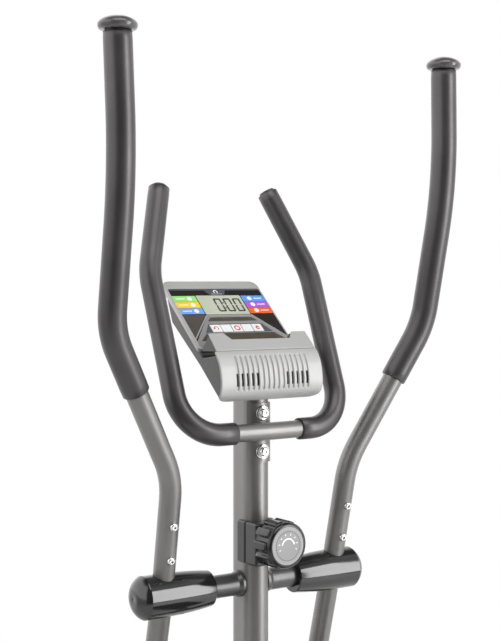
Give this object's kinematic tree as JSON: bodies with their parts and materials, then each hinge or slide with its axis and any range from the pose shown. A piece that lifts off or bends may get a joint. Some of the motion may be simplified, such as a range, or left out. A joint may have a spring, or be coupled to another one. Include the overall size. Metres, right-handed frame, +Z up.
{
  "type": "elliptical trainer",
  "caption": "Rear-drive elliptical trainer: vertical mast, fixed U handlebar, console, foam swing arms on a cross axle, pedals, cranks, flywheel housing and stabilisers.",
  "frame": {"origin": "on the floor, at the centre of the machine's footprint", "axes": "+Z up; +Y forward, from the rear stabiliser to the mast and transport wheels, the way the user faces; +X to the user's right"},
  "size_m": [0.6266, 1.18, 1.5997],
  "materials": {
    "frame_paint": "metallic grey powder coat",
    "black_paint": "dark powder coat",
    "foam": "matt closed-cell foam",
    "cap_plastic": "satin moulded",
    "gloss_black": "polished moulded",
    "knob_black": "satin moulded",
    "zinc": "bright zinc plate",
    "console_silver": "silver painted plastic",
    "console_dark": "dark grey textured",
    "display_glass": "clear window",
    "key_white": "printed keys",
    "board_green": "solder mask",
    "bronze": "sintered bushing",
    "steel": "turned",
    "iron": "machined rim",
    "belt_rubber": "ribbed belt",
    "wheel_rubber": "moulded wheel",
    "pulley_plastic": "glass-filled nylon",
    "pedal_plastic": "textured moulded",
    "housing_plastic": "fine textured moulded"
  },
  "bodies": {
    "frame": {"main_frame": "frame_paint", "front_stabiliser": "frame_paint", "rear_stabiliser": "frame_paint", "front_end_caps": "pedal_plastic", "rear_end_caps": "pedal_plastic", "frame_bolts": "zinc", "mast": "frame_paint", "fixed_handlebar": "frame_paint", "left_handlebar_grip": "foam", "right_handlebar_grip": "foam", "handlebar_plugs": "cap_plastic", "handlebar_bolts": "zinc", "axle_sleeve": "black_paint", "pivot_axle": "steel", "console_base": "console_dark", "console_panel": "console_silver", "display_window": "display_glass", "circuit_board": "board_green", "vent_cover": "console_silver", "console_ledge": "console_silver", "tension_box": "knob_black", "left_housing": "housing_plastic", "right_housing": "housing_plastic", "crank_bearings": "steel", "flywheel_axle": "steel", "drive_belt": "belt_rubber"},
    "left_arm": {"left_lower_arm": "frame_paint", "left_upper_arm": "frame_paint", "left_arm_grip": "foam", "left_arm_cap": "cap_plastic", "left_arm_bolts": "zinc", "left_bushings": "bronze", "left_cover_front": "gloss_black", "left_cover_rear": "gloss_black"},
    "right_arm": {"right_lower_arm": "frame_paint", "right_upper_arm": "frame_paint", "right_arm_grip": "foam", "right_arm_cap": "cap_plastic", "right_arm_bolts": "zinc", "right_bushings": "bronze", "right_cover_front": "gloss_black", "right_cover_rear": "gloss_black"},
    "left_bar": {"left_pedal_bar": "frame_paint", "left_pedal": "pedal_plastic", "left_bar_pins": "zinc"},
    "right_bar": {"right_pedal_bar": "frame_paint", "right_pedal": "pedal_plastic", "right_bar_pins": "zinc"},
    "crank": {"crank_axle": "steel", "left_crank": "black_paint", "right_crank": "black_paint", "drive_pulley": "pulley_plastic"},
    "flywheel": {"flywheel": "iron"},
    "knob": {"tension_knob": "knob_black"},
    "magnet": {"magnet_bracket": "steel"},
    "left_key": {"left_button": "key_white"},
    "centre_key": {"centre_button": "key_white"},
    "right_key": {"right_button": "key_white"},
    "left_wheel": {"left_wheel": "wheel_rubber"},
    "right_wheel": {"right_wheel": "wheel_rubber"}
  },
  "joints": [
    {"name": "left_arm_swing", "type": "hinge", "parent": "frame", "child": "left_arm", "pos_m": [-0.153, 0.36, 0.8], "axis": [1, 0, 0], "range_deg": [-15, 15]},
    {"name": "right_arm_swing", "type": "hinge", "parent": "frame", "child": "right_arm", "pos_m": [0.153, 0.36, 0.8], "axis": [1, 0, 0], "range_deg": [-15, 15]},
    {"name": "left_bar_pivot", "type": "hinge", "parent": "left_arm", "child": "left_bar", "pos_m": [-0.168, 0.45, 0.3], "axis": [1, 0, 0], "range_deg": [-15, 15]},
    {"name": "right_bar_pivot", "type": "hinge", "parent": "right_arm", "child": "right_bar", "pos_m": [0.168, 0.45, 0.3], "axis": [1, 0, 0], "range_deg": [-15, 15]},
    {"name": "crank_turn", "type": "hinge", "parent": "frame", "child": "crank", "pos_m": [0, -0.34, 0.3], "axis": [1, 0, 0], "continuous": true},
    {"name": "flywheel_spin", "type": "hinge", "parent": "frame", "child": "flywheel", "pos_m": [0, -0.085, 0.25], "axis": [1, 0, 0], "continuous": true},
    {"name": "knob_turn", "type": "hinge", "parent": "frame", "child": "knob", "pos_m": [0, 0.285, 0.8695], "axis": [0, 1, 0], "range_deg": [0, 270]},
    {"name": "magnet_swing", "type": "hinge", "parent": "frame", "child": "magnet", "pos_m": [0, 0.02, 0.141], "axis": [1, 0, 0], "range_deg": [0, 2.5]},
    {"name": "left_key_press", "type": "slide", "parent": "frame", "child": "left_key", "axis": [0, 0.6605, -0.7509], "range_m": [0, 0.0008], "stiffness_N_per_m": 400},
    {"name": "centre_key_press", "type": "slide", "parent": "frame", "child": "centre_key", "axis": [0, 0.6605, -0.7509], "range_m": [0, 0.0008], "stiffness_N_per_m": 400},
    {"name": "right_key_press", "type": "slide", "parent": "frame", "child": "right_key", "axis": [0, 0.6605, -0.7509], "range_m": [0, 0.0008], "stiffness_N_per_m": 400},
    {"name": "left_wheel_roll", "type": "hinge", "parent": "frame", "child": "left_wheel", "pos_m": [-0.228, 0.562, 0.032], "axis": [1, 0, 0], "continuous": true},
    {"name": "right_wheel_roll", "type": "hinge", "parent": "frame", "child": "right_wheel", "pos_m": [0.228, 0.562, 0.032], "axis": [1, 0, 0], "continuous": true}
  ],
  "couplings": [
    {"joint": "right_arm_swing", "follows": "left_arm_swing", "ratio": -1},
    {"joint": "left_bar_pivot", "follows": "left_arm_swing", "ratio": -1},
    {"joint": "right_bar_pivot", "follows": "left_arm_swing", "ratio": 1},
    {"joint": "flywheel_spin", "follows": "crank_turn", "ratio": 5.375},
    {"joint": "magnet_swing", "follows": "knob_turn", "ratio": 0.009259}
  ]
}
